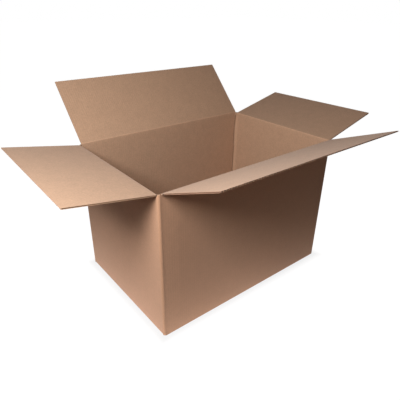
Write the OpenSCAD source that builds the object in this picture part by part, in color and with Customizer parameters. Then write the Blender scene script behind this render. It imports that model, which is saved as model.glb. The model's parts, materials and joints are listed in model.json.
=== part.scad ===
// Open shipping carton of single-wall corrugated board, a regular slotted box.
// One sheet is folded into four walls, closed along a glued tab at one corner,
// with its bottom flaps folded in and glued. The four top flaps stand open.
// Millimetres, +Z up. The origin is on the ground, under the middle of the box.
// The long walls are parallel to X and the front one faces -Y.

/* [Carton] */
// Outside length, over the end walls
carton_length = 594; // [400:2:800]
// Outside width, over the long walls
carton_width = 400; // [200:5:600]
// Height of the long walls, from the ground to the crease of their top flaps
carton_height = 396; // [150:2:600]

/* [Board] */
// Thickness of the corrugated board
board = 3; // [2.4:0.1:4.5]
// Thickness of the liner paper on each face of the board
liner = 0.3; // [0.2:0.05:0.5]
// Thickness of the fluted paper between the liners
medium = 0.25; // [0.15:0.05:0.4]
// Distance from one flute to the next
flute_pitch = 6.4; // [5:0.1:9]
// Width of the flat where a flute is stuck to its liner
flute_flat = 1.4; // [1:0.1:2]

/* [Folds] */
// Inner radius of the four upright corner folds
corner_inner_r = 3; // [1:0.5:6]
// Inner radius of the folds under the walls
bottom_inner_r = 1; // [0.5:0.5:4]
// Room between a flap and what it turns past or lies on
clearance = 0.3; // [0.2:0.05:0.6]
// Crushed board, with no open flutes, past the mitre of a flap's crease
crushed_band = 2; // [1:0.5:8]
// Least solid board between the last flute and the side of a flap
side_band = 0.6; // [0.4:0.1:3]

/* [Flaps] */
// Gap between the free edges of two long flaps that meet over the middle
seam_gap = 1; // [0.5:0.5:10]
// How far the front flap is folded out from upright
front_angle = 67.5; // [0:0.5:170]
// How far the back flap is folded out from upright
back_angle = 43; // [0:0.5:170]
// How far the flap on the left end is folded out from upright
left_angle = 80.5; // [0:0.5:170]
// How far the flap on the right end is folded out from upright
right_angle = 76; // [0:0.5:170]

/* [Glued tab] */
// Width of the tab that is glued inside the left end wall
tab_width = 35; // [20:1:60]
// How far each end of the tab is cut back towards its free edge
tab_taper = 10; // [0:1:25]

/* [Hidden] */
$fn = 64;

kraft_wall = [0.68, 0.51, 0.38];
kraft_flap = [0.76, 0.60, 0.47];

// Turns about Z that carry the front panel to each side of the box
front_side = 0;
right_side = 90;
back_side = 180;
left_side = -90;

// Folds: the sheet keeps its thickness round a bend
corner_r = corner_inner_r + board;
bottom_r = bottom_inner_r + board;

// The end flaps crease one board lower, so they close flat under the long flaps
long_crease = carton_height;
end_crease = carton_height - board - clearance;
// Each side of a crease is mitred back from the axis, half the clearance each
mitre_set_back = clearance * cos(45);

// Straight width of the panels between their corner folds, which the slots remove
long_span = carton_length - 2 * corner_r;
end_span = carton_width - 2 * corner_r;
// The flaps are a clearance narrower at each side than the walls they hang on
long_flap_span = long_span - 2 * clearance;
end_flap_span = end_span - 2 * clearance;
// All flaps are as deep as half the shorter side
flap_depth = (min(carton_length, carton_width) - seam_gap) / 2;

// The slots end level with the tops of the long walls, and one board above the ground
slot_top = long_crease - mitre_set_back;
slot_bottom = board;

// Rounding of the fold at the glued corner, where the tab turns inside the wall
tab_fold_r = min(corner_inner_r, board);

// The fluted paper follows a wave of flats and slopes
flute_rise = board - 2 * liner - medium;
flute_slope = atan2(flute_rise, flute_pitch / 2 - flute_flat);
flute_trim = medium / 2 * tan(flute_slope / 2);
channel_top = flute_flat / 2 - flute_trim;
channel_base = (flute_pitch - flute_flat) / 2 - flute_trim;

// Quarter of a sheet bent about the origin, in the corner towards -X and -Y.
// An inner radius of 0 is a tight fold.
module bent_quarter(inner_r, outer_r) {
    intersection() {
        difference() {
            circle(outer_r);
            if (inner_r > 0)
                circle(inner_r);
        }
        translate([-outer_r, -outer_r])
            square(outer_r);
    }
}

// Section through a wall and its bottom flap: X is the depth in from the outer
// face and Y is the height. The top is mitred down from the crease axis.
module panel_section(ground, crease) {
    polygon([
        [0, ground + bottom_r],
        [0, crease - mitre_set_back],
        [board, crease - mitre_set_back - board],
        [board, ground + bottom_r]
    ]);
    translate([bottom_r, ground + bottom_r])
        bent_quarter(bottom_inner_r, bottom_r);
    translate([bottom_r, ground])
        square([flap_depth - bottom_r, board]);
}

// A wall with its bottom flap, folded from one panel of the sheet
module panel(side, span, half_depth, ground, crease) {
    rotate(side)
        translate([-span / 2, -half_depth, 0])
            rotate([90, 0, 90])
                linear_extrude(span)
                    panel_section(ground, crease);
}

// An upright corner fold between two walls, between the slots above and below
module corner_fold(x_side, y_side) {
    mirror([x_side > 0 ? 1 : 0, 0, 0])
        mirror([0, y_side > 0 ? 1 : 0, 0])
            translate([corner_r - carton_length / 2, corner_r - carton_width / 2, slot_bottom])
                linear_extrude(slot_top - slot_bottom)
                    bent_quarter(corner_inner_r, corner_r);
}

// Plan of the glued corner, from the outer corner at the origin: the end wall
// runs on to a raw edge, and the long wall turns in behind it towards the tab
module glued_corner_plan() {
    translate([0, -corner_r])
        square([board, corner_r - tab_fold_r - clearance]);
    translate([board + tab_fold_r, -tab_fold_r])
        mirror([0, 1])
            bent_quarter(0, tab_fold_r);
    if (corner_inner_r > board)
        translate([2 * board, -board])
            square([corner_inner_r - board, board]);
}

// The glued corner at the back of the left end wall, with its tapered tab
module glued_corner() {
    // Below the end flap, where it lies when it is shut
    tab_top = end_crease - board - clearance;
    tab_bottom = slot_bottom + 2 * board;
    translate([-carton_length / 2, carton_width / 2, 0]) {
        translate([0, 0, slot_bottom])
            linear_extrude(slot_top - slot_bottom)
                glued_corner_plan();
        translate([board, 0, 0])
            rotate([90, 0, 90])
                linear_extrude(board)
                    polygon([
                        [-tab_fold_r, tab_bottom],
                        [-board - tab_width, tab_bottom + tab_taper],
                        [-board - tab_width, tab_top - tab_taper],
                        [-tab_fold_r, tab_top]
                    ]);
    }
}

// The folded sheet: walls, closed bottom and glued corner in one piece
module carton() {
    color(kraft_wall) {
        for (side = [front_side, back_side])
            panel(side, long_span, carton_width / 2, 0, long_crease);
        for (side = [left_side, right_side])
            panel(side, end_span, carton_length / 2, board, end_crease);
        corner_fold(-1, -1);
        corner_fold(1, -1);
        corner_fold(1, 1);
        glued_corner();
    }
}

// Section of one open channel between the fluted paper and the liner below it
module flute_channel() {
    polygon([
        [-channel_base, 0],
        [channel_base, 0],
        [channel_top, flute_rise],
        [-channel_top, flute_rise]
    ]);
}

// All the channels across a flap: one against each liner in every pitch
module flute_channels(span) {
    count = floor((span - 2 * side_band) / flute_pitch - 0.5);
    first = -(count - 0.5) * flute_pitch / 2;
    for (i = [0:count - 1]) {
        translate([first + i * flute_pitch, liner])
            flute_channel();
        translate([first + (i + 0.5) * flute_pitch, board - liner])
            mirror([0, 1])
                flute_channel();
    }
}

// A flap standing upright on its crease, which lies along X. The outer face is
// on the axis, the root is mitred, and the flutes are open at the free edge.
module flap_board(span) {
    root = mitre_set_back + board + crushed_band;
    translate([-span / 2, 0, 0])
        rotate([90, 0, 90])
            linear_extrude(span)
                polygon([
                    [0, mitre_set_back],
                    [0, root],
                    [board, root],
                    [board, mitre_set_back + board]
                ]);
    translate([0, 0, root])
        linear_extrude(flap_depth - root)
            difference() {
                translate([-span / 2, 0])
                    square([span, board]);
                flute_channels(span);
            }
}

// A flap turned out about its crease, on one side of the box
module open_flap(side, span, half_depth, crease, angle) {
    color(kraft_flap)
        rotate(side)
            translate([0, -half_depth, crease])
                rotate([angle, 0, 0])
                    flap_board(span);
}

module front_flap() {
    open_flap(front_side, long_flap_span, carton_width / 2, long_crease, front_angle);
}

module back_flap() {
    open_flap(back_side, long_flap_span, carton_width / 2, long_crease, back_angle);
}

module left_flap() {
    open_flap(left_side, end_flap_span, carton_length / 2, end_crease, left_angle);
}

module right_flap() {
    open_flap(right_side, end_flap_span, carton_length / 2, end_crease, right_angle);
}

carton();
front_flap();
back_flap();
left_flap();
right_flap();
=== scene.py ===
# %% [markdown]
# # An open shipping carton
# The real box is one sheet of corrugated board: two flat liners of brown kraft paper with a fluted paper
# glued between them. It is slotted, scored, folded and glued. Here the looks are built round a CAD frame
# that already moves, so every size below is read from that frame or named once.

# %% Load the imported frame
import json
import math

import bmesh
import bpy
import numpy as np
from mathutils import Matrix, Vector


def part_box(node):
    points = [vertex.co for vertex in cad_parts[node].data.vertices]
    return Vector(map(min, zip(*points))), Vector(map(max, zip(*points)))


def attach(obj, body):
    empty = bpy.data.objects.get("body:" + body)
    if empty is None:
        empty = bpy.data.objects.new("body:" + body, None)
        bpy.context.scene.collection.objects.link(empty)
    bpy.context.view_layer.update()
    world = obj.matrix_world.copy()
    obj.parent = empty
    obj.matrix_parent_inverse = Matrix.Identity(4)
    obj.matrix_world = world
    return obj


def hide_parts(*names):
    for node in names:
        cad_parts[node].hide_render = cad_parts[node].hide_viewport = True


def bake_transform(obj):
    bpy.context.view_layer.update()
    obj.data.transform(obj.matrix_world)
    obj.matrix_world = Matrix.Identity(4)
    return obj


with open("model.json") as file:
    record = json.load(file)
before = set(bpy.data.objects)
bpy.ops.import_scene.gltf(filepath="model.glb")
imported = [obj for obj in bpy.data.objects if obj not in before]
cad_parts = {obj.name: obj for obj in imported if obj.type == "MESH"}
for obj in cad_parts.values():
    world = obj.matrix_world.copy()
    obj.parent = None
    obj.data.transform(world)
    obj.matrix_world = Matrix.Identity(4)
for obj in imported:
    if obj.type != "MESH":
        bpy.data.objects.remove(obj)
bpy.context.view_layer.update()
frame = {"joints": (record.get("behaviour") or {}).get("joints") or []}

# %% [markdown]
# ## Sizes
# The outside of the box comes from the carton's own solid. Each hinge of the frame lies on a crease, at the
# outer face of the board, so the hinges give the crease heights. A hinge's lower limit is the shut flap, a
# quarter turn in from upright, so it also gives the angle at which that flap stands open.

# %% Sizes of the box and its board
MM = 0.001
BOARD = 3 * MM
LINER = 0.3 * MM
MEDIUM = 0.25 * MM
PITCH = 6.4 * MM
CLEARANCE = 0.3 * MM
CORNER_R = 6 * MM
CORNER_INNER_R = CORNER_R - BOARD
BOTTOM_R = 4 * MM
SEAM_GAP = 1 * MM
HALF_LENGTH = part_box("carton")[1].x
HALF_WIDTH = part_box("carton")[1].y
FLAP_DEPTH = HALF_WIDTH - SEAM_GAP / 2
TAB_WIDTH = 35 * MM
TAB_TAPER = 10 * MM

HINGE = {joint["child"]: joint for joint in frame["joints"]}
LONG_CREASE = HINGE["front_flap"]["pos_m"][2]
END_CREASE = HINGE["left_flap"]["pos_m"][2]
SET_BACK = CLEARANCE / math.sqrt(2)
SLOT_TOP = LONG_CREASE - SET_BACK
SLOT_BOTTOM = BOARD
SHUT_TO_UPRIGHT = 90


def wall(turn, half, other_half, crease, ground):
    """A wall: its turn from the front, its distance from the middle, its straight span and its two ends."""
    span = 2 * (other_half - CORNER_R)
    return {"turn": math.radians(turn), "half": half, "span": span, "crease": crease, "ground": ground}


WALLS = {
    "left": wall(-90, HALF_LENGTH, HALF_WIDTH, END_CREASE, BOARD),
    "front": wall(0, HALF_WIDTH, HALF_LENGTH, LONG_CREASE, 0),
    "right": wall(90, HALF_LENGTH, HALF_WIDTH, END_CREASE, BOARD),
    "back": wall(180, HALF_WIDTH, HALF_LENGTH, LONG_CREASE, 0),
}
for side, panel in WALLS.items():
    degrees_open = -HINGE[side + "_flap"]["range_deg"][0] - SHUT_TO_UPRIGHT
    panel["open"] = math.radians(degrees_open)
    print(side, "wall spans", round(panel["span"], 4), "m, flap open", round(degrees_open, 1), "degrees")

# %% [markdown]
# ## Small helpers
# Most of the box is paper that is flat or bent one way, so one helper turns a table of points into a sheet
# of quads. It also keeps two numbers for each point: how far it lies along the wall, across the flutes, and
# how much the flutes show there. Another helper evaluates an object's modifiers into a plain mesh, and a
# third joins such meshes into one piece.

# %% Helpers for sheets of paper
SHARP_DEGREES = 35


def sheet(name, points, run, along, show=0.0, flip=False):
    """A grid of quads through points[row, column], with its flute run, flute show and UV map."""
    rows, columns = points.shape[:2]
    index = np.arange(rows * columns).reshape(rows, columns)
    quads = np.stack([index[:-1, :-1], index[:-1, 1:], index[1:, 1:], index[1:, :-1]], -1).reshape(-1, 4)
    if flip:
        quads = quads[:, ::-1]
    mesh = bpy.data.meshes.new(name)
    mesh.from_pydata(points.reshape(-1, 3).tolist(), [], quads.tolist())
    for field, values in (("flute_run", run), ("flute_show", show)):
        data = np.broadcast_to(values, (rows, columns)).astype(np.float32).ravel()
        mesh.attributes.new(field, "FLOAT", "POINT").data.foreach_set("value", data)
    uv = np.stack([np.broadcast_to(run, (rows, columns)), np.broadcast_to(along, (rows, columns))], -1)
    corners = np.zeros(len(mesh.loops), np.int32)
    mesh.loops.foreach_get("vertex_index", corners)
    corner_uv = uv.reshape(-1, 2)[corners].astype(np.float32)
    mesh.uv_layers.new(name="board").data.foreach_set("uv", corner_uv.ravel())
    obj = bpy.data.objects.new(name, mesh)
    bpy.context.scene.collection.objects.link(obj)
    return obj


def plain_mesh(obj):
    """Evaluates the modifiers of a working object into a mesh of its own and removes the object."""
    made = bpy.data.meshes.new_from_object(obj.evaluated_get(bpy.context.evaluated_depsgraph_get()))
    bpy.data.objects.remove(obj)
    return made


def joined(name, parts, weld=0.0):
    """One smooth object from (mesh, material) pairs, with its sharp edges kept sharp."""
    materials = list(dict.fromkeys(material for _, material in parts))
    merged = bmesh.new()
    for mesh, material in parts:
        before = len(merged.faces)
        merged.from_mesh(mesh)
        merged.faces.ensure_lookup_table()
        for face in merged.faces[before:]:
            face.material_index = materials.index(material)
            face.smooth = True
    if weld:
        bmesh.ops.remove_doubles(merged, verts=merged.verts, dist=weld)
    made = bpy.data.meshes.new(name)
    merged.to_mesh(made)
    merged.free()
    for material in materials:
        made.materials.append(material)
    made.set_sharp_from_angle(angle=math.radians(SHARP_DEGREES))
    obj = bpy.data.objects.new(name, made)
    bpy.context.scene.collection.objects.link(obj)
    print(name, "has", len(made.polygons), "faces")
    return obj


def spaced(low, high, step):
    """Evenly spaced values from low to high, about a step apart."""
    return np.linspace(low, high, max(2, round((high - low) / step) + 1))


def faded(distance, start, end):
    """0 before start, 1 after end, and a smooth rise between."""
    t = np.clip((distance - start) / (end - start), 0, 1)
    return t * t * (3 - 2 * t)


# %% [markdown]
# ## Kraft paper
# Kraft liner is matte, brown and slightly uneven: cloudy where the pulp was thicker, speckled with fibres,
# and striped a little where the flutes are glued behind it. The liner outside is a shade redder than the
# one inside. Loose fibres give the paper a faint sheen at low angles. An image would do, but noise on the
# object's own coordinates has no seams and keeps its scale on every piece. The glue stripes follow the
# board's own UV map, because they have to run along the flutes whichever way a panel is turned. The same
# map says how far a point lies from a crease. There the paper is painted paler, partly as rubbed paper and
# partly as a painted highlight, and a thin line beside it is painted darker, as painted shade.

# %% Nodes that the materials share
def noise(tree, place, scale, detail, rough):
    """The grey value of a noise at each place."""
    node = tree.nodes.new("ShaderNodeTexNoise")
    node.inputs["Scale"].default_value = scale
    node.inputs["Detail"].default_value = detail
    node.inputs["Roughness"].default_value = rough
    tree.links.new(place, node.inputs["Vector"])
    return node.outputs["Fac"]


def math_node(tree, operation, first, second=None, third=None):
    """A Math node whose inputs are numbers or other nodes' outputs."""
    node = tree.nodes.new("ShaderNodeMath")
    node.operation = operation
    for socket, value in zip(node.inputs, (first, second, third)):
        if value is None:
            continue
        if isinstance(value, (int, float)):
            socket.default_value = value
        else:
            tree.links.new(value, socket)
    return node.outputs[0]


def smooth_range(tree, value, **ends):
    """A smooth Map Range node, with its ends given as from_min, from_max, to_min and to_max."""
    node = tree.nodes.new("ShaderNodeMapRange")
    node.interpolation_type = "SMOOTHSTEP"
    for label, end in ends.items():
        socket = node.inputs[label.replace("_", " ").title()]
        if isinstance(end, (int, float)):
            socket.default_value = end
        else:
            tree.links.new(end, socket)
    tree.links.new(value, node.inputs["Value"])
    return node.outputs["Result"]


# %% The paper of the board
PAPER = {"Roughness": 0.9, "Specular IOR Level": 0.2, "Sheen Weight": 0.2}
# Each noise that mottles the paper: its scale, detail, roughness and share
MOTTLE = {"specks": (260, 2, 0.5, 0.5), "fibres": (700, 4, 0.6, 0.3), "clouds": (45, 3, 0.5, 0.2)}
MOTTLE_MEAN = 0.5
TOOTH = (1500, 3, 0.5)
TOOTH_HEIGHT = 0.2 * MM
TOOTH_STRENGTH = 0.12
# Reach of the paler band at V = 0, which is rubbed paper and partly a painted highlight
WEAR_AND_HIGHLIGHT_REACH = 3 * MM
# Place and reach of the thin line of painted shade beside that band
PAINTED_SHADE_PLACE = -4.7 * MM
PAINTED_SHADE_REACH = 1.6 * MM


def kraft(name, colour, fleck, stripe=0.0, wear_and_highlight=0.0, painted_shade=0.0):
    """A matte paper of a mean colour. Fleck sets its mottling and stripe its glue lines. How much paler it is
    at V = 0 of the board's UV map is partly rubbed paper and partly a painted highlight; how much darker
    it is in a line beside that is painted shade."""
    material = bpy.data.materials.new(name)
    material.use_nodes = True
    tree = material.node_tree
    shader = tree.nodes["Principled BSDF"]
    for label, value in PAPER.items():
        shader.inputs[label].default_value = value
    place = tree.nodes.new("ShaderNodeTexCoord").outputs["Object"]
    mottle = 0.0
    for *look, share in MOTTLE.values():
        mottle = math_node(tree, "MULTIPLY_ADD", noise(tree, place, *look), share, mottle)
    level = math_node(tree, "MULTIPLY_ADD", math_node(tree, "SUBTRACT", mottle, MOTTLE_MEAN), fleck, 1.0)
    board = tree.nodes.new("ShaderNodeUVMap")
    board.uv_map = "board"
    split = tree.nodes.new("ShaderNodeSeparateXYZ")
    tree.links.new(board.outputs["UV"], split.inputs[0])
    if stripe:
        turn = math_node(tree, "MULTIPLY", split.outputs["X"], 2 * math.pi / PITCH)
        level = math_node(tree, "MULTIPLY_ADD", math_node(tree, "COSINE", turn), stripe, level)
    # Paler round V = 0: rubbed paper, and partly a painted highlight
    if wear_and_highlight:
        away = math_node(tree, "ABSOLUTE", split.outputs["Y"])
        pale = smooth_range(tree, away, from_max=WEAR_AND_HIGHLIGHT_REACH, to_min=wear_and_highlight, to_max=0.0)
        level = math_node(tree, "ADD", level, pale)
    # Painted shade: a thin darker line beside V = 0
    if painted_shade:
        beside = math_node(tree, "ABSOLUTE", math_node(tree, "SUBTRACT", split.outputs["Y"], PAINTED_SHADE_PLACE))
        line = math_node(tree, "MULTIPLY_ADD", beside, -1 / PAINTED_SHADE_REACH, 1.0)
        level = math_node(tree, "MULTIPLY_ADD", math_node(tree, "MAXIMUM", line, 0.0), -painted_shade, level)
    tint = tree.nodes.new("ShaderNodeVectorMath")
    tint.operation = "SCALE"
    tint.inputs[0].default_value = colour
    tree.links.new(level, tint.inputs["Scale"])
    tree.links.new(tint.outputs[0], shader.inputs["Base Color"])
    bump = tree.nodes.new("ShaderNodeBump")
    bump.inputs["Strength"].default_value = TOOTH_STRENGTH
    bump.inputs["Distance"].default_value = TOOTH_HEIGHT
    tree.links.new(noise(tree, place, *TOOTH), bump.inputs["Height"])
    tree.links.new(bump.outputs["Normal"], shader.inputs["Normal"])
    return material


LINER_COLOUR = {"inner": (0.578, 0.365, 0.236), "outer": (0.632, 0.352, 0.212)}
MEDIUM_COLOUR = (0.5, 0.31, 0.195)
EDGE_COLOUR = (0.56, 0.36, 0.235)
# The inner liner is painted paler on the corner beads, partly a painted highlight, and darker beside them in
# a line of painted shade
liner_paper = {
    "inner": kraft("inner_liner", LINER_COLOUR["inner"], fleck=0.7, stripe=0.02, wear_and_highlight=0.08, painted_shade=0.5),
    "outer": kraft("outer_liner", LINER_COLOUR["outer"], fleck=0.42, stripe=0.01),
}
# The liner over the creases is painted paler along its round: a rubbed band and partly a painted highlight
creased_paper = kraft("creased_liner", LINER_COLOUR["inner"], fleck=0.7, wear_and_highlight=0.17)
fluted_paper = kraft("fluted_medium", MEDIUM_COLOUR, fleck=0.25)
cut_paper = kraft("cut_edge", EDGE_COLOUR, fleck=0.3)
print("materials:", [m.name for m in (*liner_paper.values(), creased_paper, fluted_paper, cut_paper)])

# %% [markdown]
# ## Two rules in Geometry Nodes
# The flutes repeat hundreds of times by a plain rule, so Geometry Nodes make them. The first tree makes the
# fluted paper itself: a grid pushed up and down by a wave, with its crests flattened where they are glued
# and the whole wave crushed towards the crease. The second tree lets the flutes show through a liner, by
# moving each point along its normal with the same wave, some flutes more than others. Bump in the material
# could fake the second, but real relief also catches raking light in an exported mesh.

# %% Node tree helpers
def new_tree(name, inputs):
    """A Geometry Nodes tree with named inputs, and the outputs of its input node."""
    tree = bpy.data.node_groups.new(name, "GeometryNodeTree")
    tree.is_modifier = True
    for label, kind in inputs:
        tree.interface.new_socket(name=label, in_out="INPUT", socket_type="NodeSocket" + kind)
    tree.interface.new_socket(name="Geometry", in_out="OUTPUT", socket_type="NodeSocketGeometry")
    return tree, tree.nodes.new("NodeGroupInput").outputs


def end_tree(tree, geometry, material):
    """Every tree ends in Realize Instances and Set Material."""
    real = tree.nodes.new("GeometryNodeRealizeInstances")
    paint = tree.nodes.new("GeometryNodeSetMaterial")
    out = tree.nodes.new("NodeGroupOutput")
    tree.links.new(geometry, real.inputs[0])
    tree.links.new(real.outputs[0], paint.inputs["Geometry"])
    tree.links.new(material, paint.inputs["Material"])
    tree.links.new(paint.outputs[0], out.inputs[0])
    return tree


def use_tree(obj, tree, **values):
    """Adds the tree as a modifier and sets its inputs by their sockets' identifiers."""
    modifier = obj.modifiers.new(tree.name, "NODES")
    modifier.node_group = tree
    for item in tree.interface.items_tree:
        key = item.name.lower()
        if item.in_out == "INPUT" and key in values:
            modifier[item.identifier] = values[key]


# %% The fluted paper between two liners
CREST_PUSH = 1.2
CRUSHED_SHARE = 0.55


def fluted_tree():
    """A grid in waves. A wave is driven a little past the liners, which flatten its crests."""
    tree, given = new_tree("fluted_paper", [
        ("Geometry", "Geometry"), ("Span", "Float"), ("Depth", "Float"), ("Pitch", "Float"),
        ("Rise", "Float"), ("Crush", "Float"), ("Columns", "Int"), ("Rows", "Int"), ("Material", "Material")])
    grid = tree.nodes.new("GeometryNodeMeshGrid")
    sockets = {"Span": "Size X", "Depth": "Size Y", "Columns": "Vertices X", "Rows": "Vertices Y"}
    for label, socket in sockets.items():
        tree.links.new(given[label], grid.inputs[socket])
    split = tree.nodes.new("ShaderNodeSeparateXYZ")
    tree.links.new(tree.nodes.new("GeometryNodeInputPosition").outputs[0], split.inputs[0])
    turn = math_node(tree, "DIVIDE", split.outputs["X"], given["Pitch"])
    turn = math_node(tree, "MULTIPLY", turn, 2 * math.pi)
    crest = math_node(tree, "MULTIPLY", math_node(tree, "SINE", turn), CREST_PUSH)
    wave = math_node(tree, "MAXIMUM", math_node(tree, "MINIMUM", crest, 1.0), -1.0)
    root = math_node(tree, "MULTIPLY_ADD", given["Depth"], 0.5, split.outputs["Y"])
    whole = smooth_range(tree, root, from_max=given["Crush"], to_min=CRUSHED_SHARE)
    height = math_node(tree, "MULTIPLY", math_node(tree, "MULTIPLY", wave, whole), given["Rise"])
    lift = tree.nodes.new("ShaderNodeCombineXYZ")
    tree.links.new(math_node(tree, "MULTIPLY", height, 0.5), lift.inputs["Z"])
    move = tree.nodes.new("GeometryNodeSetPosition")
    tree.links.new(grid.outputs["Mesh"], move.inputs["Geometry"])
    tree.links.new(lift.outputs[0], move.inputs["Offset"])
    return end_tree(tree, move.outputs[0], given["Material"])


FLUTED = fluted_tree()
print("node tree:", FLUTED.name)

# %% The washboard that shows through a liner
UNEVEN_SCALE = 40.0
LEAST_SHOWN = 0.2
UNEVEN_SPAN = 1.6
WASHBOARD_HEIGHT = {"inner": 0.11 * MM, "outer": 0.055 * MM}


def washboard_tree():
    """Moves a sheet along its normals in waves, by its flute run and flute show."""
    tree, given = new_tree("washboard", [
        ("Geometry", "Geometry"), ("Pitch", "Float"), ("Height", "Float"), ("Material", "Material")])
    fields = {}
    for label in ("flute_run", "flute_show"):
        field = tree.nodes.new("GeometryNodeInputNamedAttribute")
        field.data_type = "FLOAT"
        field.inputs["Name"].default_value = label
        fields[label] = field.outputs["Attribute"]
    turn = math_node(tree, "DIVIDE", fields["flute_run"], given["Pitch"])
    turn = math_node(tree, "MULTIPLY", turn, 2 * math.pi)
    height = math_node(tree, "MULTIPLY", math_node(tree, "COSINE", turn), given["Height"])
    uneven = tree.nodes.new("ShaderNodeTexNoise")
    uneven.noise_dimensions = "1D"
    uneven.inputs["Scale"].default_value = 1.0
    tree.links.new(math_node(tree, "MULTIPLY", fields["flute_run"], UNEVEN_SCALE), uneven.inputs["W"])
    shown = math_node(tree, "MULTIPLY_ADD", uneven.outputs[0], UNEVEN_SPAN, LEAST_SHOWN)
    height = math_node(tree, "MULTIPLY", height, shown)
    scale = tree.nodes.new("ShaderNodeVectorMath")
    scale.operation = "SCALE"
    tree.links.new(tree.nodes.new("GeometryNodeInputNormal").outputs[0], scale.inputs[0])
    tree.links.new(math_node(tree, "MULTIPLY", height, fields["flute_show"]), scale.inputs["Scale"])
    move = tree.nodes.new("GeometryNodeSetPosition")
    tree.links.new(given["Geometry"], move.inputs["Geometry"])
    tree.links.new(scale.outputs[0], move.inputs["Offset"])
    return end_tree(tree, move.outputs[0], given["Material"])


WASHBOARD = washboard_tree()
print("node tree:", WASHBOARD.name)


# %% Paper with a thickness
def solid_paper(obj, thickness, offset):
    """Gives a sheet a thickness: offset -1 puts it on the inner side, 0 on both."""
    paper = obj.modifiers.new("paper", "SOLIDIFY")
    paper.thickness = thickness
    paper.offset = offset


def liner_sheet(obj, face, material, thickness=0.0):
    """Lets the flutes show in a liner and, for a thickness, makes it paper of its own on the board's side."""
    use_tree(obj, WASHBOARD, pitch=PITCH, height=WASHBOARD_HEIGHT[face], material=material)
    if thickness:
        solid_paper(obj, thickness, -1)
    return plain_mesh(obj)


# %% [markdown]
# ## Flaps
# A flap is plain board: an inner liner, an outer liner and the flutes, which end at the free edge and show
# there as a row of small arches. It is built upright on its crease, with X along the crease, Y in from the
# outer face and Z up the flap, and then turned out. A scored crease crushes the board, so the inner liner
# dips towards it. The guillotine pinches the liners together where no flute holds them apart, and leaves an
# edge that isn't quite even. The same functions make the bottom flaps, whose cut edges are only pressed in
# a little.

# %% The edges of a flap
COLUMN = PITCH / 4
FLAP_COLUMN = PITCH / 8
MITRE = BOARD + SET_BACK
CREASE_DIP = 0.4 * MM
CREASE_REACH = 4 * MM
CREASE_ROWS = np.array([0, 0.8, 1.8, 3, 5, 8, 12, 18]) * MM
EDGE_ROWS = np.array([3, 2, 1, 0.4, 0]) * MM
MIDDLE_ROWS = 2
CUT_PRESS = 0.7 * MM
CUT_REACH = 1.6 * MM
SHOW_FROM = 3 * MM
SHOW_FULL = 16 * MM
RAGGED = 0.2 * MM
WANDER_COLUMNS = 9
WANDER_SHARE = 0.7
FRAY_SHARE = 0.3


def crease_dip(distance):
    """How deep the scoring has pressed the inner liner, that far from the crease."""
    return CREASE_DIP * np.exp(-(distance / CREASE_REACH) ** 2)


def ragged(columns, seed):
    """A small uneven edge: smooth wander with a little fray."""
    draw = np.random.RandomState(seed)
    turns = columns // WANDER_COLUMNS
    wander = np.interp(np.arange(columns), np.linspace(0, columns, turns), draw.uniform(-1, 1, turns))
    return RAGGED * (WANDER_SHARE * wander + FRAY_SHARE * draw.uniform(-1, 1, columns))


def flap_levels(first, depth, scored):
    """Heights of the rows of a liner: close together at a scored crease and at a cut edge."""
    if not scored:
        crease = first + np.array([0, SHOW_FROM, SHOW_FULL])
        edge = depth - CUT_REACH * np.array([2, 1, 0])
        return np.concatenate([crease, [(first + depth) / 2], edge])
    crease = first + CREASE_ROWS
    edge = depth - EDGE_ROWS
    return np.concatenate([crease, np.linspace(crease[-1], edge[0], MIDDLE_ROWS + 2)[1:-1], edge])


def unheld(run, face):
    """0 where a flute holds the liner of that face up, 1 halfway between two of them."""
    return 0.5 + 0.5 * np.sin(2 * math.pi * run / PITCH) * (1 if face == "inner" else -1)


print("a flap's liner has", len(flap_levels(0, FLAP_DEPTH, True)), "rows, and a bottom flap's",
      len(flap_levels(0, FLAP_DEPTH, False)))

# %% A flap of corrugated board
PINCH = {"outer": 1.6 * MM, "inner": 0.3 * MM}
PINCH_REACH = 3 * MM
PINCH_HELD = 0.1
SCALLOP = 0.5 * MM
ROOT_BAND = 7 * MM
FLUTE_START = 1.5 * MM
FLUTE_ROOM = 0.2 * MM
FLUTE_COLUMNS = 8
FLUTE_ROWS = 14
PLAIN_FLUTE_ROWS = 2


def flap_liner(face, span, depth, first, scored, seed):
    """One liner of a flap, from its first height to its cut edge."""
    run = spaced(-span / 2, span / 2, FLAP_COLUMN if scored else COLUMN)
    run_grid, up_grid = np.meshgrid(run, flap_levels(first, depth, scored))
    inward = np.full_like(up_grid, 0 if face == "outer" else BOARD)
    if scored and face == "inner":
        inward -= crease_dip(up_grid)
    if scored:
        pinch = PINCH_HELD + (1 - PINCH_HELD) * unheld(run_grid, face)
        pinch *= PINCH[face] * faded(up_grid, depth - PINCH_REACH, depth)
        inward += pinch if face == "outer" else -pinch
        up_grid[-1] -= SCALLOP * unheld(run, face)
    elif face == "outer":
        inward[-1] += CUT_PRESS
    up_grid[-1] += ragged(len(run), seed)
    show = faded(up_grid, first + SHOW_FROM, first + SHOW_FULL)
    points = np.stack([run_grid, inward, up_grid], -1)
    obj = sheet(face + "_liner", points, run_grid, up_grid, show, flip=face == "inner")
    return liner_sheet(obj, face, liner_paper[face], LINER), liner_paper[face]


def root_side(end, first_outer, first_inner):
    """The crushed board at one end of a crease, seen from the side."""
    side = [[(end, 0, first_outer), (end, BOARD - CREASE_DIP, first_inner)],
            [(end, 0, ROOT_BAND), (end, BOARD - crease_dip(ROOT_BAND), ROOT_BAND)]]
    return plain_mesh(sheet("root_side", np.array(side), 0.0, 0.0, flip=end > 0)), cut_paper


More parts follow.
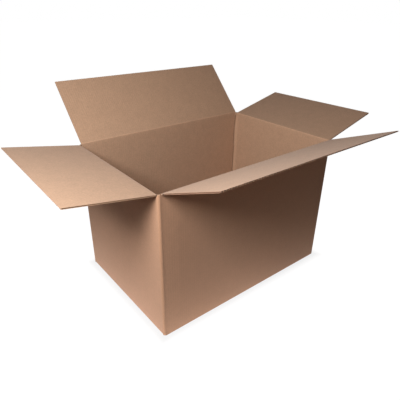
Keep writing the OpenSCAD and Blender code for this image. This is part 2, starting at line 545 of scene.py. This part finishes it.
def flap_flutes(span, depth, first, scored):
    """The fluted paper of a flap, which stops a little short of the cut edge."""
    start = first + FLUTE_START
    length = depth - 2 * SCALLOP - start
    flutes = bpy.data.objects.new("flutes", bpy.data.meshes.new("flutes"))
    bpy.context.scene.collection.objects.link(flutes)
    use_tree(flutes, FLUTED, span=span - FLUTE_ROOM, depth=length, pitch=PITCH,
             rise=BOARD - 2 * LINER - MEDIUM, crush=CREASE_REACH * 2,
             columns=round(span / PITCH * FLUTE_COLUMNS) + 1,
             rows=FLUTE_ROWS if scored else PLAIN_FLUTE_ROWS, material=fluted_paper)
    solid_paper(flutes, MEDIUM, 0)
    mesh = plain_mesh(flutes)
    middle = BOARD / 2 - (CREASE_DIP / 4 if scored else 0)
    upright = Matrix.Rotation(math.pi / 2, 4, "X")
    mesh.transform(Matrix.Translation((0, middle, start + length / 2)) @ upright)
    return mesh, fluted_paper


def flap_parts(span, depth, first_outer, first_inner, scored, seed):
    """The paper of an upright flap, as (mesh, material) pairs. One cut made the edges of both liners."""
    parts = [flap_liner("outer", span, depth, first_outer, scored, seed),
             flap_liner("inner", span, depth, first_inner, scored, seed)]
    if scored:
        parts += [root_side(end, first_outer, first_inner) for end in (-span / 2, span / 2)]
    parts.append(flap_flutes(span, depth, first_inner, scored))
    return parts


# %% [markdown]
# Board that has been damp is a little twisted. The long flaps twist outwards and the short ones inwards, so
# that they still shut. Each flap is a piece of its own, which rides on its own body of the frame and stands
# in for the plain solid there.

# %% The four top flaps
# The end of the crease at which a flap's free corner is out of true, and how far inwards it stands
WARP = {"front": (1, -3.8 * MM), "left": (-1, 2 * MM), "right": (-1, 1.7 * MM), "back": (1, 0.0)}
TOP_SEED = 6
SEED_STEP = 10


def warp(mesh, span, end, inward):
    """Twists a flap, so that its free corner at that end (1 or -1) of the crease stands that far inwards."""
    for vertex in mesh.vertices:
        vertex.co.y += inward * vertex.co.z / FLAP_DEPTH * (0.5 + end * vertex.co.x / span)


def flap_place(panel):
    """Carries a flap from its own upright place to the open one on its wall."""
    return (Matrix.Rotation(panel["turn"], 4, "Z") @ Matrix.Translation((0, -panel["half"], panel["crease"]))
            @ Matrix.Rotation(panel["open"], 4, "X"))


def top_flap(side, seed):
    """Makes the top flap of one side, open, as a piece on that flap's body."""
    span = WALLS[side]["span"] - 2 * CLEARANCE
    parts = flap_parts(span, FLAP_DEPTH, 0, MITRE, True, seed)
    for mesh, _ in parts:
        warp(mesh, span, *WARP[side])
        mesh.transform(flap_place(WALLS[side]))
    obj = joined(side + "_flap_board", parts)
    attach(obj, side + "_flap")
    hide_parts(side + "_flap")


for number, side in enumerate(WALLS):
    top_flap(side, TOP_SEED + SEED_STEP * number)

# %% [markdown]
# ## Folds over the creases
# Where a flap is folded out, the inner liner runs on over the crease from the wall to the flap. A stiff
# piece would tear there when the flap turns. So each fold is a strip of its own, shaped over the open
# crease: its lower edge lies on the wall, its upper edge on the flap, and what lies between turns round the
# crease.

# %% The inner liner over each crease
FOLD_STEPS = 10
FOLD_SIDE_ROWS = 5
FOLD_COLUMN = PITCH / 2


def fold_profile(angle):
    """Points of the inner liner over an open crease: depth in from the outer face, height over the crease."""
    rise = np.linspace(MITRE, 0, FOLD_SIDE_ROWS)
    thick = BOARD - crease_dip(rise)
    on_wall = np.stack([thick, -rise], -1)
    turn = np.linspace(0, angle, FOLD_STEPS + 1)[1:-1]
    round_part = (BOARD - CREASE_DIP) * np.stack([np.cos(turn), np.sin(turn)], -1)
    up = np.array([-math.sin(angle), math.cos(angle)])
    inwards = np.array([math.cos(angle), math.sin(angle)])
    on_flap = rise[::-1, None] * up + thick[::-1, None] * inwards
    return np.concatenate([on_wall, round_part, on_flap])


def crease_fold(side):
    """Makes the strip of liner over the open crease of one side, shaped between the carton and the flap."""
    panel = WALLS[side]
    profile = fold_profile(panel["open"])
    span = panel["span"] - 2 * CLEARANCE
    run = spaced(-span / 2, span / 2, FOLD_COLUMN)
    length = np.concatenate([[0], np.cumsum(np.linalg.norm(np.diff(profile, axis=0), axis=1))])
    points = np.zeros((len(profile), len(run), 3))
    points[..., 0] = run
    points[..., 1] = profile[:, 0, None] - panel["half"]
    points[..., 2] = profile[:, 1, None] + panel["crease"]
    # V is zero at the middle of the round, where this liner is painted paler: a rubbed band and partly a
    # painted highlight
    obj = sheet(side + "_fold", points, run[None, :], length[:, None] - length[-1] / 2, flip=True)
    mesh = liner_sheet(obj, "inner", creased_paper, LINER)
    turn = Matrix.Rotation(panel["turn"], 4, "Z")
    mesh.transform(turn)
    obj = joined(side + "_flap_fold", [(mesh, creased_paper)])
    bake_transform(obj)


for side in WALLS:
    crease_fold(side)

# %% [markdown]
# ## The folded sheet
# The walls are one strip of board that starts at a raw edge at the back of the left end, runs round the
# box, and ends in the glued tab inside that same end. So it is drawn in plan first, column by column:
# straight walls, rounded corner folds, and the tight fold of the tab. Each column is then raised into a
# skin outside and a skin inside.

# %% The strip of walls in plan
RAW_EDGE = HALF_WIDTH - BOARD - CLEARANCE
TAB_FOLD_R = BOARD
TAB_FOLD_INNER_R = 0.02 * MM
TAB_COLUMN = 5 * MM
FOLD_COLUMNS = 12
QUARTER = math.pi / 2
corner_x = HALF_LENGTH - CORNER_R
corner_y = HALF_WIDTH - CORNER_R
plan = []


def wall_columns(side, low, high, kind):
    """Columns along a straight wall: outer and inner point, way out, run, and distance to the fold."""
    panel = WALLS[side]
    out = np.array([math.sin(panel["turn"]), -math.cos(panel["turn"])])
    along = np.array([math.cos(panel["turn"]), math.sin(panel["turn"])])
    for run in spaced(low, high, COLUMN):
        outer = out * panel["half"] + along * run
        plan.append((outer, outer - out * BOARD, out, run, panel["span"] / 2 - abs(run), kind))


def fold_columns(centre, start, outer_r, inner_r, kind):
    """Columns round a fold, between the walls that it joins."""
    for turn in np.linspace(0, QUARTER, FOLD_COLUMNS + 1)[1:-1]:
        out = np.array([math.cos(start + turn), math.sin(start + turn)])
        plan.append((centre + out * outer_r, centre + out * inner_r, out, turn * outer_r, 0.0, kind))


def corner(x_side, y_side, start, kind):
    """Columns round an upright corner fold of the box."""
    fold_columns(np.array([x_side * corner_x, y_side * corner_y]), start, CORNER_R, CORNER_INNER_R, kind)


half_end = WALLS["left"]["span"] / 2
half_long = WALLS["front"]["span"] / 2
wall_columns("left", -RAW_EDGE, -half_end - COLUMN, "raw")
wall_columns("left", -half_end, half_end, "left")
corner(-1, -1, 2 * QUARTER, "left_front")
wall_columns("front", -half_long, half_long, "front")
corner(1, -1, 3 * QUARTER, "front_right")
wall_columns("right", -half_end, half_end, "right")
corner(1, 1, 0, "right_back")
wall_columns("back", -half_long, half_long, "back")
tab_fold = np.array([-corner_x, HALF_WIDTH - TAB_FOLD_R])
fold_columns(tab_fold, QUARTER, TAB_FOLD_R, TAB_FOLD_INNER_R, "tab_fold")
for reach in spaced(0, TAB_WIDTH, TAB_COLUMN):
    edge = tab_fold + np.array([0, -reach])
    plan.append((edge - np.array([BOARD, 0]), edge, np.array([-1.0, 0.0]), reach, 0.0, "tab"))

OUTER, INNER, OUT, RUN, EDGE, KIND = (np.array(values) for values in zip(*plan))
print("the strip of walls has", len(plan), "columns")

# %% [markdown]
# Every piece of the strip is a slab of board: a skin outside, a skin inside, and rims where its edge shows
# or where it meets the next slab. The slabs are collected here and joined into one piece at the end.

# %% Slabs of board from an outer and an inner skin
MID_LOW = 10 * MM
MID_HIGH = 386 * MM
carton_parts = []


def rim(name, outer, inner, flip):
    """Adds a strip of cut board between a line of the outer skin and one of the inner skin."""
    carton_parts.append((plain_mesh(sheet(name, np.stack([outer, inner]), 0.0, 0.0, flip=flip)), cut_paper))


def slab(name, outer, inner, run, along, show, ends):
    """Adds a piece of board between two skins to the carton, with rims on the named ends."""
    for face, points, flip in (("outer", outer, False), ("inner", inner, True)):
        obj = sheet(name + "_" + face, points, run, along, show, flip)
        mesh = liner_sheet(obj, face, liner_paper[face]) if np.any(show) else plain_mesh(obj)
        carton_parts.append((mesh, liner_paper[face]))
    lines = {
        "low": (outer[0], inner[0], True),
        "high": (outer[-1], inner[-1], False),
        "start": (outer[:, 0], inner[:, 0], False),
        "end": (outer[:, -1], inner[:, -1], True),
    }
    for end in ends:
        rim(name + "_" + end, *lines[end])


def raised(flat, heights):
    """Points of a skin: plan points, one for each column, at heights for each row, or each row and column."""
    rows = np.broadcast_to(heights if np.ndim(heights) > 1 else heights[:, None], (len(heights), len(flat)))
    points = np.zeros((*rows.shape, 3))
    points[..., :2] = flat
    points[..., 2] = rows
    return points


def columns_of(kind):
    """The columns of a wall, or of another stretch with the wall columns beside it."""
    found = np.flatnonzero(KIND == kind)
    if kind in WALLS:
        return found
    return np.arange(max(found[0] - 1, 0), found[-1] + 2)


print("slabs run from", MID_LOW, "to", MID_HIGH, "m between the folds and the creases")

# %% [markdown]
# Inside a corner the liner has too little room, so it buckles into a bead that leans on the next wall, and
# that wall falls away behind the bead in a narrow valley. Towards the top, where the slot lets the paper
# spread, the bead opens into a flat facet. None of this is even: the bead is fatter at some heights than at
# others, and one corner of the box has a kink a third of the way down. The shape is a table of offsets in
# millimetres, outwards across the wall before the fold and across the wall after it. Its first column is
# the place: millimetres before the fold as negative numbers, then the fold from 0 to 1, then 1 plus the
# millimetres after it. Outside, the scoring has only softened the fold and pressed a shallow dip into the
# wall after it.

# %% Tables of the corner folds
BEAD = np.array([
    (-14, 0, 0), (-11, 0.3, 0), (-8, 0, 0), (-5, -1.3, 0), (-2.5, -3, 0), (0, -4.4, -0.3),
    (0.25, -4.7, -0.35), (0.5, -4, -0.3), (0.65, -3.1, 0.15), (0.8, -2.3, 0.55), (1, -1.5, 1.3),
    (3, -0.2, 1.3), (5, 0, 0.85), (7, 0, 0.35), (10, 0, 0)])
FACET = np.array([(0, 0, 0), (0.5, -0.6, -1.7), (1, 0, -2.1), (4.5, 0, -1), (8, 0, 0)])
SCORED = np.array([
    (-6, 0), (-2, 0.03), (0, 0.1), (0.3, 0.5), (0.6, 0.95), (1, 1.3), (3, 1.4), (7, 1.4), (12, 1.2),
    (20, 0.85), (30, 0.45), (45, 0)])
CORNERS = {
    "left_front": ("left", "front"),
    "front_right": ("front", "right"),
    "right_back": ("right", "back"),
}
INNER_LEVELS = np.array([40, 80, 120, 160, 200, 232, 254, 268, 284, 310, 338, 364]) * MM
LEVELS = np.concatenate([[MID_LOW], INNER_LEVELS, [MID_HIGH]])
FACET_FROM = 325 * MM
FACET_FULL = 392 * MM
BEAD_SEED = 4
LEAST_BEAD = 0.75
MOST_BEAD = 1.1
KINKED_CORNER = "right_back"
KINK_ROWS = slice(6, 9)
KINK_STRENGTH = 0.45
on_wall = np.isin(KIND, list(WALLS))
place = np.where(RUN > 0, -EDGE / MM, 1 + EDGE / MM)
place = np.where(on_wall, place, RUN / (CORNER_R * QUARTER))
print("the folds are shaped at", len(LEVELS), "levels")

# %% The liners at the corner folds
opened = faded(LEVELS, FACET_FROM, FACET_FULL)
draw = np.random.RandomState(BEAD_SEED)
moved = np.zeros((len(LEVELS), len(plan), 2))
dip = np.zeros(len(plan))
for corner_name, walls in CORNERS.items():
    strength = draw.uniform(LEAST_BEAD, MOST_BEAD, len(LEVELS))
    if corner_name == KINKED_CORNER:
        strength[KINK_ROWS] = KINK_STRENGTH
    pick = (KIND == corner_name) | ((KIND == walls[0]) & (RUN > 0)) | ((KIND == walls[1]) & (RUN < 0))
    dip[pick] = np.interp(place[pick], *SCORED.T) * MM
    for number, side in enumerate(walls, 1):
        out = OUT[KIND == side][0]
        for table, share in ((BEAD, strength * (1 - opened)), (FACET, opened)):
            across = np.interp(place[pick], table[:, 0], table[:, number]) * MM
            moved[:, pick] += (share[:, None] * across)[..., None] * out
outer_plan = OUTER - OUT * dip[:, None]
print("the liner inside the corners moves by up to", round(np.abs(moved).max() / MM, 1), "mm")

# %% [markdown]
# The paper's paler band, partly rubbed and partly a painted highlight, and its line of painted shade follow
# V of the UV map. On the walls beside a corner fold, V is therefore the distance from the crest of the bead
# instead of the height. It is halved, because the pale band there is twice as wide as the one on a flap's
# crease.

# %% The walls between their creases
BEAD_CREST = 3 * MM
FOLD_RUN = 4 * MM
BEAD_UV_SPREAD = 2
WALL_SHOW_FROM = 4 * MM
WALL_SHOW_FULL = 14 * MM
before_crest = np.where(RUN > 0, EDGE - BEAD_CREST, -BEAD_CREST - FOLD_RUN - EDGE)
before_crest = np.where(on_wall, before_crest, -BEAD_CREST - FOLD_RUN * place)
folding = np.isin(KIND, list(CORNERS)) | (on_wall & np.where(RUN > 0, KIND != "back", KIND != "left"))
tab_share = np.where(KIND == "tab", RUN / TAB_WIDTH, 0.0)
low = MID_LOW + TAB_TAPER * tab_share
high = MID_HIGH - TAB_TAPER * tab_share
heights = low + (high - low) * ((LEVELS - MID_LOW) / (MID_HIGH - MID_LOW))[:, None]
show = np.where(on_wall, faded(EDGE, WALL_SHOW_FROM, WALL_SHOW_FULL), 0.0)
outer = raised(outer_plan, heights)
inner = raised(INNER, heights)
inner[..., :2] += moved
# Beside the corners the bead's crest is painted paler, partly a painted highlight, and the valley after it
# gets a line of painted shade
wear_highlight_shade_v = np.where(folding, before_crest / BEAD_UV_SPREAD, heights)
slab("walls", outer, inner, RUN, wear_highlight_shade_v, show, ("start", "end"))
on_tab = KIND == "tab"
for row, flip in ((0, True), (-1, False)):
    rim("tab_rim", outer[row, on_tab], inner[row, on_tab], flip)
print("walls between the creases:", outer.shape[0], "rows")

# %% [markdown]
# Above, each wall ends in a mitre under its flap, so that the flap can turn. The flutes fade out there,
# because the scoring has crushed them. The corner folds end in the slots, level with the tops of the long
# walls.

# %% The tops of the walls, up to the creases of the flaps
TOP_ROWS = np.array([4, 2, 1, 0]) * MM
TOP_INNER_ROWS = 5
TOP_SHOW_FROM = 4 * MM
TOP_SHOW_FULL = 8 * MM
PRESS_REACH = 2 * MM
for side, panel in WALLS.items():
    pick = columns_of(side)
    outer_levels = np.append(MID_HIGH, panel["crease"] - TOP_ROWS)
    inner_levels = np.linspace(MID_HIGH, panel["crease"] - MITRE, TOP_INNER_ROWS)
    outer = raised(outer_plan[pick], outer_levels)
    inner = raised(INNER[pick], inner_levels)
    pressed = crease_dip(panel["crease"] - inner_levels)
    pressed *= faded(inner_levels, MID_HIGH, MID_HIGH + PRESS_REACH)
    inner[..., :2] += moved[-1, pick] + OUT[pick] * pressed[:, None, None]
    fade = faded(panel["crease"] - outer_levels, TOP_SHOW_FROM, TOP_SHOW_FULL)[:, None]
    ends = ("high", "start", "end")
    slab(side + "_top", outer, inner, RUN[pick], outer_levels[:, None], show[pick] * fade, ends)
for kind in ("raw", *CORNERS, "tab_fold"):
    pick = columns_of(kind)
    for levels, row, end in (((MID_HIGH, SLOT_TOP), -1, "high"), ((SLOT_BOTTOM, MID_LOW), 0, "low")):
        levels = np.array(levels)
        outer = raised(outer_plan[pick], levels)
        inner = raised(INNER[pick] + moved[row, pick], levels)
        slab(kind, outer, inner, RUN[pick], levels[:, None], 0.0, (end, "start", "end"))
print("tops of the walls and corners:", len(carton_parts), "sheets so far")

# %% [markdown]
# Below, each wall bends into its bottom flap. The short flaps are folded in first, so the ends of the box
# stand one board higher than its long walls. All four flaps are glued, and the long ones meet in a seam.

# %% The folds under the walls
FOOT_ROWS = 6
turn = np.linspace(0, QUARTER, FOOT_ROWS)
fade = np.append(np.zeros(FOOT_ROWS), 1)[:, None]
for side, panel in WALLS.items():
    pick = columns_of(side)
    skins = []
    for radius, face in ((BOTTOM_R, 0.0), (BOTTOM_R - BOARD, BOARD)):
        depth = np.append(BOTTOM_R - radius * np.sin(turn), face)
        height = np.append(panel["ground"] + BOTTOM_R - radius * np.cos(turn), MID_LOW)
        skins.append(raised(OUTER[pick], height))
        skins[-1][..., :2] -= OUT[pick] * depth[:, None, None]
    outer, inner = skins
    outer[-1, :, :2] -= OUT[pick] * dip[pick, None]
    inner[-1, :, :2] += moved[0, pick]
    slab(side + "_foot", outer, inner, RUN[pick], outer[..., 2], show[pick] * fade, ("low", "start", "end"))
print("with the folds under the walls:", len(carton_parts), "sheets")

# %% The bottom flaps
GLUE_LINE = 0.05 * MM
HALF_SEAM = 0.1 * MM
BOTTOM_SEED = 65
bottom_parts = []
for number, panel in enumerate(WALLS.values()):
    lift = panel["ground"] + (GLUE_LINE if panel["ground"] else 0)
    lay = Matrix(((-1, 0, 0, 0), (0, 0, 1, -panel["half"]), (0, 1, 0, lift), (0, 0, 0, 1)))
    seed = BOTTOM_SEED + SEED_STEP * number
    for mesh, material in flap_parts(panel["span"], HALF_WIDTH - HALF_SEAM, BOTTOM_R, BOTTOM_R, False, seed):
        mesh.transform(Matrix.Rotation(panel["turn"], 4, "Z") @ lay)
        bottom_parts.append((mesh, material))
print("bottom flaps:", len(bottom_parts), "sheets")

# %% The two pieces of the folded sheet
WELD = 0.001 * MM
for name, parts in (("carton_walls", carton_parts), ("carton_bottom", bottom_parts)):
    piece = joined(name, parts, WELD)
    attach(piece, "carton")
    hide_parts("carton")

# %% [markdown]
# ## Camera
# The camera stands where the photograph's was: its place, lens and slight roll come from fitting the
# straight edges of the box in perspective. The offset is the middle of the box's foot as the camera sees
# it: to the right, up and straight ahead.

# %% Camera
IMAGE_WIDTH = 400
FOCAL_PIXELS = 390.9
SENSOR_WIDTH = 36
AZIMUTH = math.radians(-38.71)
ELEVATION = math.radians(27.11)
ROLL_ANGLE = math.radians(0.60)
OFFSET = Vector((19.3, -189.5, 1284.5)) * MM
right = Vector((math.cos(AZIMUTH), math.sin(AZIMUTH), 0))
level_back = Vector((math.sin(AZIMUTH), -math.cos(AZIMUTH), 0))
back = level_back * math.cos(ELEVATION) + Vector((0, 0, math.sin(ELEVATION)))
up = back.cross(right)
rolled_right = right * math.cos(ROLL_ANGLE) + up * math.sin(ROLL_ANGLE)
rolled_up = up * math.cos(ROLL_ANGLE) - right * math.sin(ROLL_ANGLE)
eye = back * OFFSET.z - rolled_right * OFFSET.x - rolled_up * OFFSET.y
camera_data = bpy.data.cameras.new("camera")
camera_data.sensor_width = SENSOR_WIDTH
camera_data.lens = FOCAL_PIXELS / IMAGE_WIDTH * SENSOR_WIDTH
camera = bpy.data.objects.new("camera", camera_data)
axes = Matrix((rolled_right, rolled_up, back)).transposed().to_4x4()
camera.matrix_world = Matrix.Translation(eye) @ axes
bpy.context.scene.collection.objects.link(camera)
bpy.context.scene.camera = camera
print("camera at", [round(v, 3) for v in eye], "lens", round(camera_data.lens, 2))

# %% [markdown]
# ## Light
# The main light is one soft lamp from the front left with a weak warm fill, so the walls fall off gently to
# the right and the flaps shade the walls below them. A low lamp behind the box shows its far sides. It
# stays below the flaps, so it lights nothing that the photograph shows. A very weak one at the right stands
# for the pale room, which lifts the shaded end of the front wall. The background is white only to the
# camera, to gloss and to glass, and doesn't light the box.

# %% Lamps
LAMPS = {
    "key": {"place": (-0.878, -0.415, 0.986), "aim": (-0.15, -0.1, 0.35), "size": 0.38, "watts": 11.4},
    "low": {"place": (0.95, 0.8, 0.28), "aim": (0.2, 0.15, 0.2), "size": 0.5, "watts": 5.0},
    "side": {"place": (0.9, -0.75, 0.2), "aim": (0.25, -0.2, 0.2), "size": 0.4, "watts": 0.25},
}


def lamp(name, place, aim, size, watts):
    """A square lamp at a place, turned to what it is aimed at."""
    data = bpy.data.lights.new(name, "AREA")
    data.shape = "SQUARE"
    data.size = size
    data.energy = watts
    obj = bpy.data.objects.new(name, data)
    obj.location = place
    obj.rotation_euler = (Vector(aim) - Vector(place)).to_track_quat("-Z", "Y").to_euler()
    bpy.context.scene.collection.objects.link(obj)


for name, given in LAMPS.items():
    lamp(name, **given)
    print("lamp", name, "of", given["watts"], "watts")

# %% Fill and background
FILL_COLOUR = (0.06, 0.038, 0.028)
WHITE = (1, 1, 1)


def by_ray(tree, lighting, seen, output):
    """Ends a tree in one shader that lights the scene and another that the camera, gloss and glass see."""
    path = tree.nodes.new("ShaderNodeLightPath")
    either = math_node(tree, "MAXIMUM", path.outputs["Is Camera Ray"], path.outputs["Is Glossy Ray"])
    either = math_node(tree, "MAXIMUM", either, path.outputs["Is Transmission Ray"])
    mix = tree.nodes.new("ShaderNodeMixShader")
    tree.links.new(either, mix.inputs[0])
    tree.links.new(lighting.outputs[0], mix.inputs[1])
    tree.links.new(seen.outputs[0], mix.inputs[2])
    tree.links.new(mix.outputs[0], output.inputs["Surface"])


world = bpy.data.worlds.new("studio")
bpy.context.scene.world = world
world.use_nodes = True
tree = world.node_tree
fill = tree.nodes["Background"]
fill.inputs["Color"].default_value = (*FILL_COLOUR, 1)
backdrop = tree.nodes.new("ShaderNodeBackground")
backdrop.inputs["Color"].default_value = (*WHITE, 1)
by_ray(tree, fill, backdrop, tree.nodes["World Output"])
print("fill of", FILL_COLOUR)

# %% [markdown]
# ## Floor
# The floor is white, as the photograph shows it, and it gets a little darker where the box stands on it. To
# the box it is a white card that reaches only a little way round it, so that it doesn't flood the walls
# with light. Close to the box that card also glows faintly and coolly, which lifts the foot of the walls.
# To the camera it is white, with a share of the box's shadow, and close round the box's foot it is dimmed in
# a painted contact shadow.

# %% The floor and its values by distance from the box
FLOOR_SIZE = 30
floor_mesh = bpy.data.meshes.new("floor")
half = FLOOR_SIZE / 2
floor_corners = [(-half, -half, 0), (half, -half, 0), (half, half, 0), (-half, half, 0)]
floor_mesh.from_pydata(floor_corners, [], [(0, 1, 2, 3)])
floor = bpy.data.objects.new("floor", floor_mesh)
bpy.context.scene.collection.objects.link(floor)
paper_floor = bpy.data.materials.new("white_floor")
paper_floor.use_nodes = True
floor_tree = paper_floor.node_tree
floor_tree.nodes.clear()
spot = floor_tree.nodes.new("ShaderNodeSeparateXYZ")
floor_tree.links.new(floor_tree.nodes.new("ShaderNodeTexCoord").outputs["Object"], spot.inputs[0])
beside = [math_node(floor_tree, "SUBTRACT", math_node(floor_tree, "ABSOLUTE", spot.outputs[axis]), reach)
          for axis, reach in (("X", HALF_LENGTH), ("Y", HALF_WIDTH))]
from_box = math_node(floor_tree, "MAXIMUM", *beside)


def by_distance(socket, near, far, near_value, far_value):
    """Sets a value of the floor that changes smoothly with the distance from the box."""
    ends = {"from_min": near, "from_max": far, "to_min": near_value, "to_max": far_value}
    floor_tree.links.new(smooth_range(floor_tree, from_box, **ends), socket)


print("floor of", FLOOR_SIZE, "metres")

# %% The floor's finish
CARD_NEAR = 0.11
CARD_FAR = 0.33
CARD_WHITE = 0.95
GLOW_COLOUR = (0.8, 1.0, 1.2)
GLOW = 0.3
GLOW_REACH = 0.16
SHADOW_SHARE = 0.1
# The camera's white at the box's foot and the reach over which it rises to full: a painted contact shadow
PAINTED_CONTACT_SHADOW_WHITE = 0.84
PAINTED_CONTACT_SHADOW_REACH = 0.032
bounce = floor_tree.nodes.new("ShaderNodeBsdfDiffuse")
by_distance(bounce.inputs["Color"], CARD_NEAR, CARD_FAR, CARD_WHITE, 0.0)
glow = floor_tree.nodes.new("ShaderNodeEmission")
glow.inputs["Color"].default_value = (*GLOW_COLOUR, 1)
by_distance(glow.inputs["Strength"], 0.0, GLOW_REACH, GLOW, 0.0)
shadow = floor_tree.nodes.new("ShaderNodeBsdfDiffuse")
shadow.inputs["Color"].default_value = (SHADOW_SHARE, SHADOW_SHARE, SHADOW_SHARE, 1)
white = floor_tree.nodes.new("ShaderNodeEmission")
# Painted contact shadow: the white that the camera sees is dimmed close round the box
by_distance(white.inputs["Strength"], 0.0, PAINTED_CONTACT_SHADOW_REACH, PAINTED_CONTACT_SHADOW_WHITE, 1.0)


def added(first, second):
    """The sum of two shaders of the floor."""
    node = floor_tree.nodes.new("ShaderNodeAddShader")
    floor_tree.links.new(first.outputs[0], node.inputs[0])
    floor_tree.links.new(second.outputs[0], node.inputs[1])
    return node


floor_output = floor_tree.nodes.new("ShaderNodeOutputMaterial")
by_ray(floor_tree, added(bounce, glow), added(shadow, white), floor_output)
floor_mesh.materials.append(paper_floor)
bpy.context.scene.view_settings.view_transform = "Standard"
print("floor glows", GLOW, "at the box, and nothing", GLOW_REACH, "m away")
